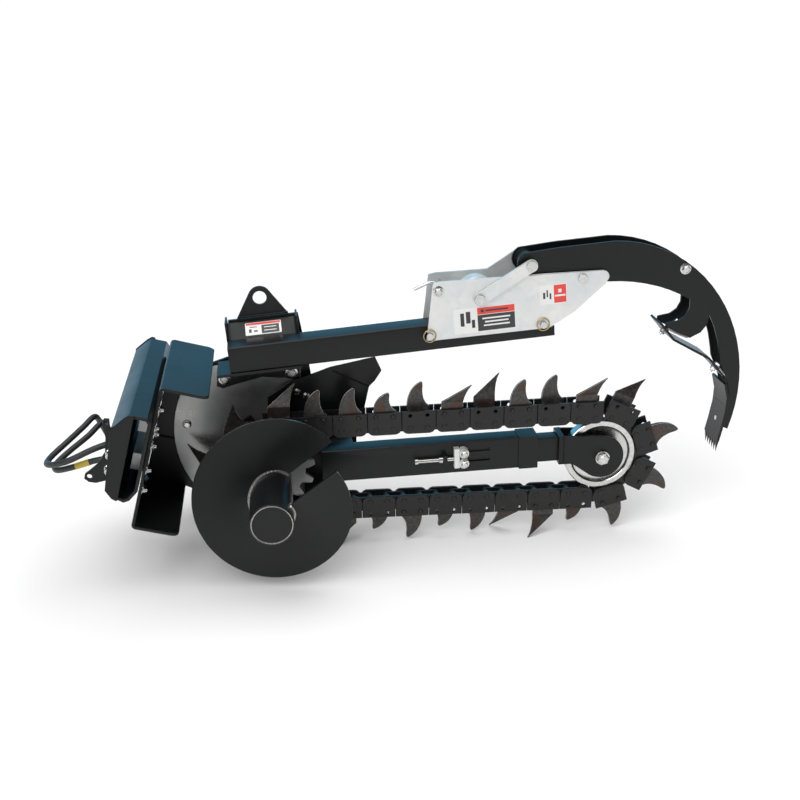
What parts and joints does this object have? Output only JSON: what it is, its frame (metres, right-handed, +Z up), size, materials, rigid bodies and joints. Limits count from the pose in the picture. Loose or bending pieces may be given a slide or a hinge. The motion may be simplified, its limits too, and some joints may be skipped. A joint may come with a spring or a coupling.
{
  "type": "chain trencher attachment",
  "caption": "Chain trencher attachment for a compact loader: digging chain on a boom, spoil auger, hydraulic motor, crumber arm and quick-attach mount.",
  "frame": {"origin": "centre of the quick-attach face, the rear face of the mount's back plate, where the loader's plate seats", "axes": "+X along the digging boom and away from the loader, +Z up, -Y the side of the spoil auger"},
  "size_m": [2.0238, 0.702, 0.9192],
  "materials": {
    "black_paint": "semi-gloss powder coat",
    "zinc_plate": "zinc plated",
    "chain_steel": "dark heat-treated steel, bright worn edges",
    "bright_steel": "machined",
    "hose_rubber": "matt, ribbed cover",
    "ring_gold": "yellow passivated spring steel"
  },
  "bodies": {
    "mount": {"mount_plate": "black_paint", "mount_back_plate": "black_paint", "mount_end_near": "black_paint", "mount_end_far": "black_paint", "hose_bracket": "black_paint", "coupler_pressure": "zinc_plate", "coupler_return": "zinc_plate", "hose_pressure": "hose_rubber", "hose_return": "hose_rubber"},
    "head": {"head_bracket": "black_paint", "clamp_bar_upper": "zinc_plate", "clamp_bar_lower": "zinc_plate", "side_plate": "black_paint", "guard_plate": "zinc_plate", "bearing_housing": "black_paint", "hydraulic_motor": "black_paint", "motor_fitting_pressure": "zinc_plate", "motor_fitting_return": "zinc_plate", "boom_bracket": "black_paint", "boom_tube": "black_paint", "tension_lug": "black_paint", "top_beam": "black_paint", "beam_bracket": "black_paint", "motor_cover": "black_paint", "lifting_lug": "black_paint", "deflector_plate": "black_paint", "crumber_plate_near": "zinc_plate", "crumber_plate_far": "zinc_plate", "brace_bar": "zinc_plate", "roller_pin": "zinc_plate", "pivot_pin": "zinc_plate", "stop_pin": "zinc_plate", "lynch_pin_rear": "zinc_plate", "lynch_pin_front": "zinc_plate", "chain_top_run": "chain_steel", "chain_nose": "chain_steel", "chain_bottom_run": "chain_steel", "chain_drive_wrap": "chain_steel"},
    "idler_slide": {"boom_inner_tube": "black_paint", "tension_block": "zinc_plate", "fork_block": "black_paint", "fork_plate_near": "black_paint", "fork_plate_far": "black_paint", "idler_axle": "bright_steel"},
    "adjuster": {"tension_bolt": "bright_steel"},
    "idler": {"idler_wheel": "zinc_plate"},
    "drive": {"drive_shaft": "bright_steel", "drive_sprocket": "zinc_plate", "auger_pipe": "black_paint", "auger_flight": "black_paint"},
    "arm": {"arm_plate_near": "black_paint", "arm_plate_far": "black_paint", "pivot_bush": "black_paint", "arm_spacer": "zinc_plate", "scraper_blade": "black_paint", "crumber_shoe": "black_paint"},
    "roller": {"crumber_roller": "zinc_plate"},
    "latch": {"latch_handle": "zinc_plate"},
    "ring_rear": {"lynch_ring_rear": "ring_gold"},
    "ring_front": {"lynch_ring_front": "ring_gold"}
  },
  "joints": [
    {"name": "side_shift", "type": "slide", "parent": "mount", "child": "head", "axis": [0, 1, 0], "range_m": [-0.06, 0.06]},
    {"name": "drive_spin", "type": "hinge", "parent": "head", "child": "drive", "pos_m": [0.37676, 0, -0.20725], "axis": [0, 1, 0], "continuous": true},
    {"name": "tension_slide", "type": "slide", "parent": "head", "child": "idler_slide", "axis": [0.9996, 0, 0.0279], "range_m": [-0.018, 0]},
    {"name": "adjuster_screw", "type": "slide", "parent": "head", "child": "adjuster", "axis": [0.9996, 0, 0.0279], "range_m": [-0.018, 0]},
    {"name": "idler_spin", "type": "hinge", "parent": "idler_slide", "child": "idler", "pos_m": [1.37576, 0, -0.20725], "axis": [0, 1, 0], "continuous": true},
    {"name": "crumber_swing", "type": "hinge", "parent": "head", "child": "arm", "pos_m": [1.12676, 0, 0.39975], "axis": [0, -1, 0], "range_deg": [0, 75]},
    {"name": "roller_spin", "type": "hinge", "parent": "head", "child": "roller", "pos_m": [0.98176, 0, 0.30775], "axis": [0, 1, 0], "continuous": true},
    {"name": "latch_turn", "type": "hinge", "parent": "head", "child": "latch", "pos_m": [0.88176, 0, 0.34075], "axis": [0, 1, 0], "range_deg": [0, 70]},
    {"name": "ring_rear_flip", "type": "hinge", "parent": "head", "child": "ring_rear", "pos_m": [0.84175, -0.06025, 0.2217], "axis": [-1, 0, 0], "range_deg": [0, 100]},
    {"name": "ring_front_flip", "type": "hinge", "parent": "head", "child": "ring_front", "pos_m": [1.16902, -0.06025, 0.24417], "axis": [-1, 0, 0], "range_deg": [0, 100]}
  ],
  "couplings": [
    {"joint": "adjuster_screw", "follows": "tension_slide", "ratio": 1},
    {"joint": "idler_spin", "follows": "drive_spin", "ratio": 0.919}
  ]
}
